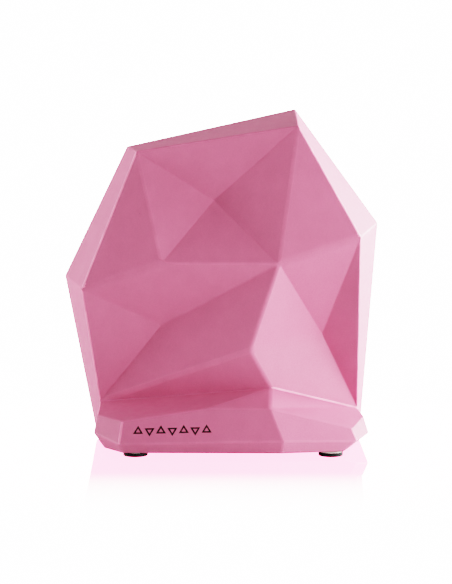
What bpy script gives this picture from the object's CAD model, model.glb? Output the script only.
import math

import bmesh
import bpy
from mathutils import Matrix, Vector


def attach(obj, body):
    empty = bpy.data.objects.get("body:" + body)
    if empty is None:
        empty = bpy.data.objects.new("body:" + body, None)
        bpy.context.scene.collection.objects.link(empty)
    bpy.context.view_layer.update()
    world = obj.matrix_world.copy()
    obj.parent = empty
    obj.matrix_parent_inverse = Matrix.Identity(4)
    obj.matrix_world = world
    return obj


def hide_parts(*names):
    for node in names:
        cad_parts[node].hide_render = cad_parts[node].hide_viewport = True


# A faceted cast bookend on four round rubber pads, in a white studio.
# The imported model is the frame. The casting, its corners, its roundings and the camera's place
# are in millimetres, and are multiplied by MM where they are used. Lights, domes and the
# floor's size are in metres.

MM = 0.001

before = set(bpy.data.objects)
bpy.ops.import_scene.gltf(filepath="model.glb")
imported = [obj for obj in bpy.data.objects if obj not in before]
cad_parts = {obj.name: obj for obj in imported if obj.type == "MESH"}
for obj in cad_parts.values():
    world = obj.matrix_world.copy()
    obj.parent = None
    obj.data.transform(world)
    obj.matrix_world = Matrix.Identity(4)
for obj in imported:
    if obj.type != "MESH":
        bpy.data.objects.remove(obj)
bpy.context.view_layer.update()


# ---------------------------------------------------------------------------------------
# Camera
# ---------------------------------------------------------------------------------------

LOOK_AT = (2.5, 5.0, 77.5)
CAMERA_DISTANCE = 1100.0
CAMERA_ELEVATION = 7.0
LENS = 135.6
SENSOR = 36.0
# Metres.
CLIP_END = 50.0


def add_camera():
    """A long lens in front of the object, a little above level and tilted down to it."""
    data = bpy.data.cameras.new("camera")
    data.sensor_fit = "VERTICAL"
    data.sensor_height = SENSOR
    data.lens = LENS
    data.clip_end = CLIP_END
    camera = bpy.data.objects.new("camera", data)
    bpy.context.scene.collection.objects.link(camera)
    tilt = math.radians(CAMERA_ELEVATION)
    back = Vector((0, -math.cos(tilt), math.sin(tilt))) * CAMERA_DISTANCE
    camera.location = (Vector(LOOK_AT) + back) * MM
    camera.rotation_euler = (math.pi / 2 - tilt, 0, 0)
    bpy.context.scene.camera = camera


add_camera()

# ---------------------------------------------------------------------------------------
# The casting
# ---------------------------------------------------------------------------------------

# The corners, the laid corners and the facets repeat those of the CAD part.
# Every corner of the casting, as x, y, z. The body is a crystal whose flat back is the
# plane y = 31 and whose flat underside is the plane z = 2.
CORNERS = {
    # outline of the flat back
    "back_brow": (-48.0, 31.0, 149.0),
    "back_crown": (37.5, 31.0, 168.0),
    "back_right": (80.0, 31.0, 110.0),
    "back_left": (-80.0, 31.0, 83.0),
    "back_foot_left": (-64.5, 31.0, 2.0),
    "back_foot_right": (71.5, 31.0, 2.0),
    # rim of the front, one corner in front of each corner of the back
    "brow": (-42.5, 21.0, 147.0),
    "crown": (38.5, 7.5, 160.5),
    "shoulder": (69.5, 0.0, 105.5),
    "elbow": (-70.0, 8.0, 78.5),
    "seat_left": (-61.5, 14.5, 20.5),
    "seat_mid": (25.0, -6.5, 31.0),
    "seat_right": (69.5, 17.5, 16.5),
    # peaks and hollows of the front
    "dimple": (-3.5, 17.0, 122.5),
    "knuckle": (-29.5, 0.5, 92.5),
    "peak": (29.0, -3.5, 92.5),
    "hollow_left": (-30.0, 12.0, 60.0),
    "chin": (14.5, -9.0, 50.0),
    "hollow_right": (51.0, 14.0, 55.0),
    # top edge of the ledge, from left to right
    "ledge_left_rear": (-61.5, -9.5, 18.0),
    "ledge_left": (-48.5, -23.0, 17.0),
    "ledge_mid": (-7.5, -21.0, 23.0),
    "ledge_nose": (24.5, -22.5, 23.0),
    "ledge_right": (65.0, -11.5, 11.5),
    "ledge_right_rear": (71.5, 2.5, 15.5),
    # lower edge of the ledge's front, above the bevel
    "toe_left_rear": (-63.0, -14.0, 9.5),
    "toe_left": (-50.0, -29.0, 6.5),
    "toe_nose": (30.5, -31.0, 8.5),
    "toe_right": (67.5, -15.0, 5.5),
    "toe_right_rear": (74.0, -3.5, 7.5),
    # outline of the underside
    "sole_left_rear": (-57.5, -15.0, 2.0),
    "sole_left": (-48.0, -27.5, 2.0),
    "sole_nose": (29.5, -29.0, 2.0),
    "sole_right": (60.5, -23.5, 2.0),
    "sole_right_rear": (64.0, -4.0, 2.0),
}

# Most facets of four or more corners are kept flat by laying one corner on the plane of
# three others; the corner moves along Y only. The order matters: later ones lean on earlier
# ones. A few four-cornered facets stay twisted.
LAID = {
    "hollow_left": ("peak", "chin", "seat_left"),
    "knuckle": ("elbow", "peak", "hollow_left"),
    "seat_mid": ("chin", "hollow_right", "seat_right"),
    "brow": ("back_brow", "back_crown", "crown"),
    "ledge_left": ("toe_left", "toe_nose", "ledge_mid"),
    "ledge_nose": ("toe_left", "toe_nose", "ledge_mid"),
    "toe_left_rear": ("ledge_left_rear", "ledge_left", "toe_left"),
    "ledge_right": ("toe_nose", "ledge_nose", "toe_right"),
    "toe_right_rear": ("toe_right", "ledge_right", "ledge_right_rear"),
    "sole_left": ("toe_left", "toe_nose", "sole_nose"),
    "sole_left_rear": ("toe_left_rear", "toe_left", "sole_left"),
}

FACETS = [
    # front, from the crown down
    ("brow", "crown", "dimple"),
    ("dimple", "crown", "peak"),
    ("brow", "dimple", "knuckle"),
    ("dimple", "peak", "knuckle"),
    ("brow", "knuckle", "elbow"),
    ("crown", "shoulder", "peak"),
    ("peak", "shoulder", "hollow_right"),
    ("shoulder", "seat_right", "hollow_right"),
    ("peak", "hollow_right", "chin"),
    ("chin", "hollow_right", "seat_right", "seat_mid"),
    ("elbow", "knuckle", "peak", "hollow_left"),
    ("elbow", "hollow_left", "seat_left"),
    ("hollow_left", "peak", "chin", "seat_left"),
    ("seat_left", "chin", "seat_mid"),
    # flared sides between the rim and the back
    ("back_brow", "back_crown", "crown", "brow"),
    ("back_crown", "back_right", "shoulder", "crown"),
    ("back_right", "back_foot_right", "seat_right", "shoulder"),
    ("back_left", "back_brow", "brow", "elbow"),
    ("back_foot_left", "back_left", "elbow", "seat_left"),
    # top of the ledge
    ("seat_left", "seat_mid", "ledge_mid"),
    ("seat_left", "ledge_mid", "ledge_left", "ledge_left_rear"),
    ("ledge_mid", "seat_mid", "ledge_nose"),
    ("seat_mid", "seat_right", "ledge_nose"),
    ("ledge_nose", "seat_right", "ledge_right_rear", "ledge_right"),
    # front and ends of the ledge
    ("toe_left", "ledge_left", "ledge_mid", "ledge_nose", "toe_nose"),
    ("toe_nose", "ledge_nose", "ledge_right", "toe_right"),
    ("toe_left_rear", "ledge_left_rear", "ledge_left", "toe_left"),
    ("toe_right", "ledge_right", "ledge_right_rear", "toe_right_rear"),
    ("seat_left", "ledge_left_rear", "back_foot_left"),
    ("ledge_left_rear", "toe_left_rear", "back_foot_left"),
    ("seat_right", "back_foot_right", "ledge_right_rear"),
    ("ledge_right_rear", "back_foot_right", "toe_right_rear"),
    # bevel between the ledge's front and the underside
    ("toe_left", "toe_nose", "sole_nose", "sole_left"),
    ("toe_nose", "toe_right", "sole_right", "sole_nose"),
    ("toe_left_rear", "toe_left", "sole_left", "sole_left_rear"),
    ("toe_left_rear", "sole_left_rear", "back_foot_left"),
    ("toe_right", "toe_right_rear", "sole_right_rear", "sole_right"),
    ("toe_right_rear", "back_foot_right", "sole_right_rear"),
    # underside and back
    (
        "sole_right", "sole_right_rear", "back_foot_right",
        "back_foot_left", "sole_left_rear", "sole_left", "sole_nose",
    ),
    ("back_foot_right", "back_right", "back_crown", "back_brow", "back_left", "back_foot_left"),
]


def laid_corners():
    """The corners in millimetres, with the laid ones moved along Y to their planes."""
    points = {name: Vector(place) for name, place in CORNERS.items()}
    for name, (first, second, third) in LAID.items():
        base = points[first]
        normal = (points[second] - base).cross(points[third] - base)
        points[name].y -= (points[name] - base).dot(normal) / normal.y
    return points


# How far each edge is rounded, in millimetres across the rounding.
COMMON_ROUND = 1.4
EDGE_ROUNDS = {
    ("brow", "knuckle"): 2.0,
    ("knuckle", "peak"): 1.6,
    ("crown", "peak"): 2.4,
    ("shoulder", "peak"): 5.5,
    ("peak", "chin"): 3.0,
    ("chin", "hollow_right"): 5.5,
    ("seat_left", "chin"): 3.4,
    ("chin", "seat_mid"): 3.0,
    ("peak", "hollow_left"): 1.6,
    ("elbow", "knuckle"): 5.5,
    ("brow", "dimple"): 0.8,
    ("dimple", "knuckle"): 0.8,
    ("dimple", "peak"): 0.8,
    ("crown", "dimple"): 0.8,
    ("elbow", "hollow_left"): 0.8,
    ("hollow_left", "seat_left"): 0.8,
    ("peak", "hollow_right"): 0.8,
    ("shoulder", "hollow_right"): 0.8,
    ("seat_right", "hollow_right"): 0.8,
    ("seat_left", "seat_mid"): 1.2,
    ("seat_mid", "seat_right"): 1.2,
    ("seat_mid", "ledge_nose"): 3.0,
    ("ledge_nose", "seat_right"): 3.0,
    ("ledge_mid", "seat_mid"): 1.0,
}
ROUND_SEGMENTS = 5

# The mark's cutter: vertices of the fill that lie less deep than FILL_TOP_DEPTH are its top,
# and are pulled out by CUTTER_REACH, both in millimetres.
FILL_TOP_DEPTH = 0.2
CUTTER_REACH = 0.6
# Edges that turn by more than this many degrees are shaded as sharp.
SHARP_EDGE = 25.0


def ledge_plane(points):
    """A point on the ledge's front and the direction square out of it."""
    base = points["toe_left"]
    out = (points["toe_nose"] - base).cross(points["ledge_mid"] - base).normalized()
    if out.y > 0:
        out.negate()
    return base, out


def mark_cutter(points):
    """The recess of the mark: the fill's own shape, pulled out past the ledge's front."""
    base, out = ledge_plane(points)
    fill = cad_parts["ledge_mark"]
    mesh = fill.data.copy()
    mesh.transform(fill.matrix_world)
    for vert in mesh.vertices:
        if (vert.co / MM - base).dot(out) > -FILL_TOP_DEPTH:
            vert.co += out * CUTTER_REACH * MM
    cutter = bpy.data.objects.new("mark_cutter", mesh)
    bpy.context.scene.collection.objects.link(cutter)
    return cutter


def bake_modifiers(thing):
    """Make the object's modifiers part of its mesh."""
    graph = bpy.context.evaluated_depsgraph_get()
    mesh = bpy.data.meshes.new_from_object(thing.evaluated_get(graph))
    thing.modifiers.clear()
    thing.data = mesh


ROUNDING_SLOT = 1

# How worn the rounded edges are, from 0 to 1: hollow ones are not, and a few stand out.
RIDGE_WEAR = 0.14
BRIGHT_EDGES = (
    ("crown", "shoulder"),
    ("brow", "elbow"),
    ("seat_left", "ledge_left_rear"),
    ("ledge_left", "toe_left"),
    ("ledge_right", "toe_right"),
    ("seat_mid", "seat_right"),
    ("seat_right", "ledge_right_rear"),
    ("shoulder", "seat_right"),
    ("elbow", "seat_left"),
)
# These ridges are so soft that they don't wear.
SOFT_EDGES = (
    ("elbow", "knuckle"),
    ("shoulder", "peak"),
    ("chin", "hollow_right"),
)


def edge_wear(bm, verts):
    """For every edge of the crystal, its two ends and its wear."""
    bright = {frozenset((verts[first], verts[second])) for first, second in BRIGHT_EDGES}
    soft = {frozenset((verts[first], verts[second])) for first, second in SOFT_EDGES}
    worn = []
    for edge in bm.edges:
        ends = frozenset(edge.verts)
        wear = RIDGE_WEAR if edge.is_convex and ends not in soft else 0.0
        if ends in bright:
            wear = 1.0
        worn.append((edge.verts[0].co.copy(), edge.verts[1].co.copy(), wear))
    return worn


def distance_to_edge(point, start, end):
    """How far a point is from the straight edge between start and end."""
    along = end - start
    share = (point - start).dot(along) / along.length_squared
    return (point - start - along * min(max(share, 0.0), 1.0)).length


def note_rounded_edges(mesh, worn):
    """Write how worn each rounding is into an attribute for the material to read."""
    wear = mesh.attributes.new("wear", "FLOAT", "FACE")
    for polygon in mesh.polygons:
        if polygon.material_index == ROUNDING_SLOT:
            centre = polygon.center
            nearest = min(worn, key=lambda entry: distance_to_edge(centre, entry[0], entry[1]))
            wear.data[polygon.index].value = nearest[2]
            polygon.material_index = 0


def build_casting(material):
    """The casting: facets, roundings, the recess of the mark, and shading that keeps it crisp."""
    points = laid_corners()
    mesh = bpy.data.meshes.new("casting")
    bm = bmesh.new()
    verts = {name: bm.verts.new(point * MM) for name, point in points.items()}
    for names in FACETS:
        bm.faces.new([verts[name] for name in names])
    weights = bm.edges.layers.float.new("bevel_weight_edge")
    widest = max(EDGE_ROUNDS.values())
    for edge in bm.edges:
        edge[weights] = COMMON_ROUND / widest
    for (first, second), across in EDGE_ROUNDS.items():
        edge = bm.edges.get((verts[first], verts[second]))
        edge[weights] = across / widest
    bmesh.ops.recalc_face_normals(bm, faces=bm.faces)
    worn = edge_wear(bm, verts)
    bm.to_mesh(mesh)
    bm.free()
    for polygon in mesh.polygons:
        polygon.use_smooth = True
    # a first slot for the facets and a second for the roundings, until these are noted
    mesh.materials.append(material)
    mesh.materials.append(material)
    casting = bpy.data.objects.new("casting", mesh)
    bpy.context.scene.collection.objects.link(casting)
    bevel = casting.modifiers.new("rounding", "BEVEL")
    bevel.limit_method = "WEIGHT"
    bevel.width = widest / 2 * MM
    bevel.segments = ROUND_SEGMENTS
    bevel.material = ROUNDING_SLOT
    bevel.use_clamp_overlap = True
    bake_modifiers(casting)
    note_rounded_edges(casting.data, worn)
    cutter = mark_cutter(points)
    recess = casting.modifiers.new("recess", "BOOLEAN")
    recess.operation = "DIFFERENCE"
    recess.solver = "EXACT"
    recess.object = cutter
    bake_modifiers(casting)
    bpy.data.objects.remove(cutter)
    casting.data.set_sharp_from_angle(angle=math.radians(SHARP_EDGE))
    weighting = casting.modifiers.new("shading", "WEIGHTED_NORMAL")
    weighting.mode = "FACE_AREA"
    weighting.keep_sharp = True
    bake_modifiers(casting)
    return casting


# ---------------------------------------------------------------------------------------
# Materials
# ---------------------------------------------------------------------------------------


def new_material(name):
    """A new node material, with its nodes, links and main shader."""
    material = bpy.data.materials.new(name)
    material.use_nodes = True
    nodes = material.node_tree.nodes
    shader = nodes["Principled BSDF"]
    return material, nodes, material.node_tree.links, shader


def noise(nodes, links, place, scale, detail, distortion=0.0):
    """A noise with about scale features to the metre."""
    texture = nodes.new("ShaderNodeTexNoise")
    texture.inputs["Scale"].default_value = scale
    texture.inputs["Detail"].default_value = detail
    texture.inputs["Distortion"].default_value = distortion
    links.new(place, texture.inputs["Vector"])
    return texture.outputs["Fac"]


def spread(nodes, links, value, lowest, highest, reach=(0.3, 0.7)):
    """Map the middle of a noise to the given range."""
    ramp = nodes.new("ShaderNodeMapRange")
    ramp.inputs["From Min"].default_value = reach[0]
    ramp.inputs["From Max"].default_value = reach[1]
    ramp.inputs["To Min"].default_value = lowest
    ramp.inputs["To Max"].default_value = highest
    links.new(value, ramp.inputs["Value"])
    return ramp.outputs["Result"]


def combine(nodes, links, operation, first, second):
    """One Math node; second may be a number."""
    step = nodes.new("ShaderNodeMath")
    step.operation = operation
    links.new(first, step.inputs[0])
    if isinstance(second, float):
        step.inputs[1].default_value = second
    else:
        links.new(second, step.inputs[1])
    return step.outputs["Value"]


def bumped(nodes, links, shader, height, distance, strength, before=None):
    """Bump the shader by a height; distance is in millimetres and before is an earlier bump."""
    bump = nodes.new("ShaderNodeBump")
    bump.inputs["Strength"].default_value = strength
    bump.inputs["Distance"].default_value = distance * MM
    links.new(height, bump.inputs["Height"])
    if before is not None:
        links.new(before, bump.inputs["Normal"])
    links.new(bump.outputs["Normal"], shader.inputs["Normal"])
    return bump.outputs["Normal"]


def scaled_colour(nodes, links, shader, colour, tone):
    """Make the shader's colour the given one times a tone."""
    scaled = nodes.new("ShaderNodeVectorMath")
    scaled.operation = "SCALE"
    scaled.inputs[0].default_value = colour
    links.new(tone, scaled.inputs["Scale"])
    links.new(scaled.outputs["Vector"], shader.inputs["Base Color"])


CAST_COLOUR = (0.65, 0.19, 0.295)
CAST_SHINE = 0.12
# What full wear adds: to the tone, to the specular level, and off the roughness.
EDGE_LIFT = 0.8
EDGE_SHINE = 0.4
EDGE_POLISH = 0.12

# Sizes of the casting's textures, in features to the metre.
CLOUDS = 22.0
BLOTCHES = 130.0
SAND = 1500.0
HOLE_CELLS = 150.0
HOLE_PATCHES = 60.0
WEAR_PATCHES = 90.0
GLOSS_PATCHES = 300.0
SWELL = 70.0
GRAIN = 1300.0

# Depths of its relief in millimetres, and how dark a pinhole is.
SWELL_DEPTH = 0.4
GRAIN_DEPTH = 0.08
HOLE_DEPTH = 0.3
HOLE_SHADE = 0.2


def cast_material():
    """Pigmented fine concrete: cloudy colour, fine sand, a few pinholes, worn lighter edges."""
    material, nodes, links, shader = new_material("pigmented_casting")
    place = nodes.new("ShaderNodeTexCoord").outputs["Object"]
    clouds = spread(nodes, links, noise(nodes, links, place, CLOUDS, 3.0, 0.4), 0.965, 1.035)
    blotches = spread(nodes, links, noise(nodes, links, place, BLOTCHES, 2.0), 0.98, 1.02)
    sand = spread(nodes, links, noise(nodes, links, place, SAND, 2.0), 0.96, 1.04)
    tone = combine(nodes, links, "MULTIPLY", clouds, blotches)
    tone = combine(nodes, links, "MULTIPLY", tone, sand)

    # pinholes: the middles of widely spaced cells, and only where a coarse noise lets them be
    cells = nodes.new("ShaderNodeTexVoronoi")
    cells.inputs["Scale"].default_value = HOLE_CELLS
    links.new(place, cells.inputs["Vector"])
    near = spread(nodes, links, cells.outputs["Distance"], 1.0, 0.0, (0.03, 0.055))
    patches = noise(nodes, links, place, HOLE_PATCHES, 0.0)
    allowed = spread(nodes, links, patches, 0.0, 1.0, (0.60, 0.62))
    hole = combine(nodes, links, "MULTIPLY", near, allowed)
    shade = combine(nodes, links, "MULTIPLY", hole, HOLE_SHADE)
    tone = combine(nodes, links, "SUBTRACT", tone, shade)

    # worn edges: the roundings, broken up so that the wear comes and goes
    edge = nodes.new("ShaderNodeAttribute")
    edge.attribute_name = "wear"
    patchy = spread(nodes, links, noise(nodes, links, place, WEAR_PATCHES, 2.0), 0.35, 1.0)
    wear = combine(nodes, links, "MULTIPLY", edge.outputs["Fac"], patchy)
    lift = combine(nodes, links, "MULTIPLY", wear, EDGE_LIFT)
    tone = combine(nodes, links, "ADD", tone, lift)

    scaled_colour(nodes, links, shader, CAST_COLOUR, tone)

    rough = spread(nodes, links, noise(nodes, links, place, GLOSS_PATCHES, 3.0), 0.44, 0.56)
    smooth = combine(nodes, links, "MULTIPLY", wear, EDGE_POLISH)
    rough = combine(nodes, links, "SUBTRACT", rough, smooth)
    links.new(rough, shader.inputs["Roughness"])
    shine = combine(nodes, links, "MULTIPLY", wear, EDGE_SHINE)
    shine = combine(nodes, links, "ADD", shine, CAST_SHINE)
    links.new(shine, shader.inputs["Specular IOR Level"])

    waves = noise(nodes, links, place, SWELL, 1.0)
    swell = bumped(nodes, links, shader, waves, SWELL_DEPTH, 0.25)
    grain = noise(nodes, links, place, GRAIN, 3.0)
    skin = bumped(nodes, links, shader, grain, GRAIN_DEPTH, 0.35, swell)
    depth = combine(nodes, links, "MULTIPLY", hole, -1.0)
    bumped(nodes, links, shader, depth, HOLE_DEPTH, 0.8, skin)
    return material


RUBBER_DUST = 900.0
RUBBER_GLOSS = 500.0
RUBBER_GRAIN = 2500.0
RUBBER_DEPTH = 0.05
RUBBER_SHINE = 0.2


def rubber_material():
    """Black rubber with a matt, slightly dusty skin."""
    material, nodes, links, shader = new_material("pad_rubber")
    place = nodes.new("ShaderNodeTexCoord").outputs["Object"]
    tone = spread(nodes, links, noise(nodes, links, place, RUBBER_DUST, 2.0), 0.012, 0.028)
    colour = nodes.new("ShaderNodeCombineColor")
    for channel in ("Red", "Green", "Blue"):
        links.new(tone, colour.inputs[channel])
    links.new(colour.outputs["Color"], shader.inputs["Base Color"])
    shader.inputs["Specular IOR Level"].default_value = RUBBER_SHINE
    rough = spread(nodes, links, noise(nodes, links, place, RUBBER_GLOSS, 2.0), 0.62, 0.8)
    links.new(rough, shader.inputs["Roughness"])
    bumped(nodes, links, shader, noise(nodes, links, place, RUBBER_GRAIN, 2.0), RUBBER_DEPTH, 0.4)
    return material


def tinted_material(name, colour, scale, roughness, grain):
    """A thin coat: small changes of tone and gloss, and a faint grain so many millimetres deep."""
    material, nodes, links, shader = new_material(name)
    place = nodes.new("ShaderNodeTexCoord").outputs["Object"]
    tone = spread(nodes, links, noise(nodes, links, place, scale, 2.0), 0.85, 1.15)
    scaled_colour(nodes, links, shader, colour, tone)
    rough = spread(nodes, links, noise(nodes, links, place, scale, 3.0), *roughness)
    links.new(rough, shader.inputs["Roughness"])
    bumped(nodes, links, shader, noise(nodes, links, place, scale * 2, 2.0), grain, 0.4)
    return material


casting = build_casting(cast_material())
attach(casting, "root")
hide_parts("cast_body")


def dress(node, material):
    """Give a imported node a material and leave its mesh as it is."""
    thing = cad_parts[node]
    thing.data.materials.clear()
    thing.data.materials.append(material)


rubber = rubber_material()
film = tinted_material("pad_film", (0.6, 0.58, 0.52), 700.0, (0.35, 0.5), 0.03)
fill = tinted_material("mark_fill", (0.035, 0.008, 0.015), 1200.0, (0.45, 0.65), 0.05)
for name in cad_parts:
    if name.startswith("pad"):
        dress(name, rubber)
    if name.startswith("film"):
        dress(name, film)
dress("ledge_mark", fill)

# ---------------------------------------------------------------------------------------
# Studio
# ---------------------------------------------------------------------------------------

# Soft lights: where each stands, as azimuth and elevation round the object in degrees
# (0 is in front, 90 is to the right), its distance and side in metres, and its power in watts.
SOFTBOXES = {
    "right_back": (125.0, 10.0, 1.2, 0.5, 35.0),
    "right": (90.0, 8.0, 1.2, 0.5, 11.5),
    "right_front": (62.0, 10.0, 1.3, 0.5, 15.5),
    "left": (-90.0, 6.0, 1.2, 0.5, 12.5),
    "left_back": (-125.0, 25.0, 1.2, 0.9, 5.0),
    "top_back": (180.0, 55.0, 1.3, 0.9, 5.5),
    "top_right": (60.0, 60.0, 1.3, 0.6, 1.2),
}
CENTRE = Vector((0.0, 0.0, 0.08))


def add_softbox(name, azimuth, elevation, distance, side, power):
    """A square light that faces the middle of the object and isn't seen itself."""
    data = bpy.data.lights.new(name, "AREA")
    data.shape = "SQUARE"
    data.size = side
    data.energy = power
    light = bpy.data.objects.new(name, data)
    turn = math.radians(azimuth)
    lift = math.radians(elevation)
    level = math.cos(lift)
    towards = Vector((math.sin(turn) * level, -math.cos(turn) * level, math.sin(lift)))
    light.visible_camera = False
    light.location = CENTRE + towards * distance
    light.rotation_euler = towards.to_track_quat("Z", "Y").to_euler()
    bpy.context.scene.collection.objects.link(light)


for name, setting in SOFTBOXES.items():
    add_softbox(name, *setting)


def sheet_object(name, corners, material):
    """One flat face with a material, as part of the set."""
    mesh = bpy.data.meshes.new(name)
    bm = bmesh.new()
    bm.faces.new([bm.verts.new(corner) for corner in corners])
    bm.to_mesh(mesh)
    bm.free()
    thing = bpy.data.objects.new(name, mesh)
    bpy.context.scene.collection.objects.link(thing)
    mesh.materials.append(material)
    return thing


def glowing_material(name, strength):
    """A white glow and nothing else."""
    material, nodes, links, shader = new_material(name)
    nodes.remove(shader)
    glow = nodes.new("ShaderNodeEmission")
    glow.inputs["Strength"].default_value = strength
    links.new(glow.outputs["Emission"], nodes["Material Output"].inputs["Surface"])
    return material


FLOOR_HALF = 3.0
# How far below the pads the seen floor and the matt floor lie.
FLOOR_GAP = 0.05 * MM
BOUNCE_GAP = 0.5 * MM
BOUNCE_WHITE = 0.8
BOUNCE_ROUGHNESS = 0.8

# The polished patch: a box about the object's footprint, given by its half sizes, and the
# distances outside it between which the polish fades.
PATCH_HALF = (0.075, 0.031, 0.0)
POLISH_ENDS = 0.030
WHITE_STARTS = 0.130
POLISH_ROUGHNESS = 0.03
POLISH_TINT = (1.0, 0.15, 0.3, 1)
POLISH_GLOW = 7.0
SURROUND_GLOW = 12.0


def square(half, height):
    """Corners of a level square about the origin."""
    return [(x * half, y * half, height) for x, y in ((-1, -1), (1, -1), (1, 1), (-1, 1))]


def vector_step(nodes, links, operation, value, constant=None):
    """One VectorMath node that takes a value and, where it needs one, a constant."""
    step = nodes.new("ShaderNodeVectorMath")
    step.operation = operation
    links.new(value, step.inputs[0])
    if constant is not None:
        step.inputs[1].default_value = constant
    return step


def polished_floor_material():
    """A polished patch round the object that fades into plain glowing white.

    The patch mirrors the object and its surround. Its own faint pink glow lifts the mirrored
    object to a pale pink.
    """
    material, nodes, links, shader = new_material("polished_floor")
    shader.inputs["Base Color"].default_value = (0, 0, 0, 1)
    shader.inputs["Roughness"].default_value = POLISH_ROUGHNESS
    shader.inputs["Emission Color"].default_value = POLISH_TINT
    shader.inputs["Emission Strength"].default_value = POLISH_GLOW
    place = nodes.new("ShaderNodeTexCoord").outputs["Object"]
    size = vector_step(nodes, links, "ABSOLUTE", place).outputs[0]
    past = vector_step(nodes, links, "SUBTRACT", size, PATCH_HALF).outputs[0]
    outside = vector_step(nodes, links, "MAXIMUM", past, (0, 0, 0)).outputs[0]
    distance = vector_step(nodes, links, "LENGTH", outside).outputs["Value"]
    fade = nodes.new("ShaderNodeMapRange")
    fade.interpolation_type = "SMOOTHSTEP"
    fade.inputs["From Min"].default_value = POLISH_ENDS
    fade.inputs["From Max"].default_value = WHITE_STARTS
    links.new(distance, fade.inputs["Value"])
    white = nodes.new("ShaderNodeEmission")
    white.inputs["Strength"].default_value = SURROUND_GLOW
    mix = nodes.new("ShaderNodeMixShader")
    links.new(fade.outputs["Result"], mix.inputs["Fac"])
    links.new(shader.outputs["BSDF"], mix.inputs[1])
    links.new(white.outputs["Emission"], mix.inputs[2])
    links.new(mix.outputs["Shader"], nodes["Material Output"].inputs["Surface"])
    return material


def matt_white_material():
    """The plain white of the floor that throws light back up."""
    material, _, _, shader = new_material("floor_bounce")
    shader.inputs["Base Color"].default_value = (BOUNCE_WHITE, BOUNCE_WHITE, BOUNCE_WHITE, 1)
    shader.inputs["Roughness"].default_value = BOUNCE_ROUGHNESS
    return material


# The polished floor is what is seen; the matt one under it is what throws light back up.
floor = sheet_object("floor", square(FLOOR_HALF, -FLOOR_GAP), polished_floor_material())
floor.visible_diffuse = False
floor.visible_glossy = False
floor.visible_shadow = False
bounce = sheet_object("floor_bounce", square(FLOOR_HALF, -BOUNCE_GAP), matt_white_material())
bounce.visible_camera = False

# White surrounds for the eye and for the floor's polish only: they throw no light on the
# object. The polish sees a brighter one, so that the floor beside the object stays white.
SURROUND_RADIUS = 4.0
REFLECTED_RADIUS = 3.9
REFLECTED_GLOW = 34.0
DOME_DETAIL = 4


def add_surround(name, radius, glow, seen):
    """A glowing dome that lights the floor only: seen by the camera, or else by the polish."""
    mesh = bpy.data.meshes.new(name)
    bm = bmesh.new()
    bmesh.ops.create_icosphere(bm, subdivisions=DOME_DETAIL, radius=radius)
    bm.to_mesh(mesh)
    bm.free()
    dome = bpy.data.objects.new(name, mesh)
    bpy.context.scene.collection.objects.link(dome)
    mesh.materials.append(glowing_material(name, glow))
    dome.visible_camera = seen
    dome.visible_glossy = not seen
    dome.visible_diffuse = False
    dome.visible_shadow = False
    dome.light_linking.receiver_collection = floor_only


floor_only = bpy.data.collections.new("lit_by_surround")
floor_only.objects.link(floor)
add_surround("surround", SURROUND_RADIUS, SURROUND_GLOW, True)
add_surround("reflected_surround", REFLECTED_RADIUS, REFLECTED_GLOW, False)

# The world gives no light: all of it comes from the softboxes and the floor.
world = bpy.data.worlds.new("studio")
world.use_nodes = True
world.node_tree.nodes["Background"].inputs["Strength"].default_value = 0
bpy.context.scene.world = world
bpy.context.scene.view_settings.view_transform = "Filmic"
bpy.context.scene.view_settings.look = "Very High Contrast"
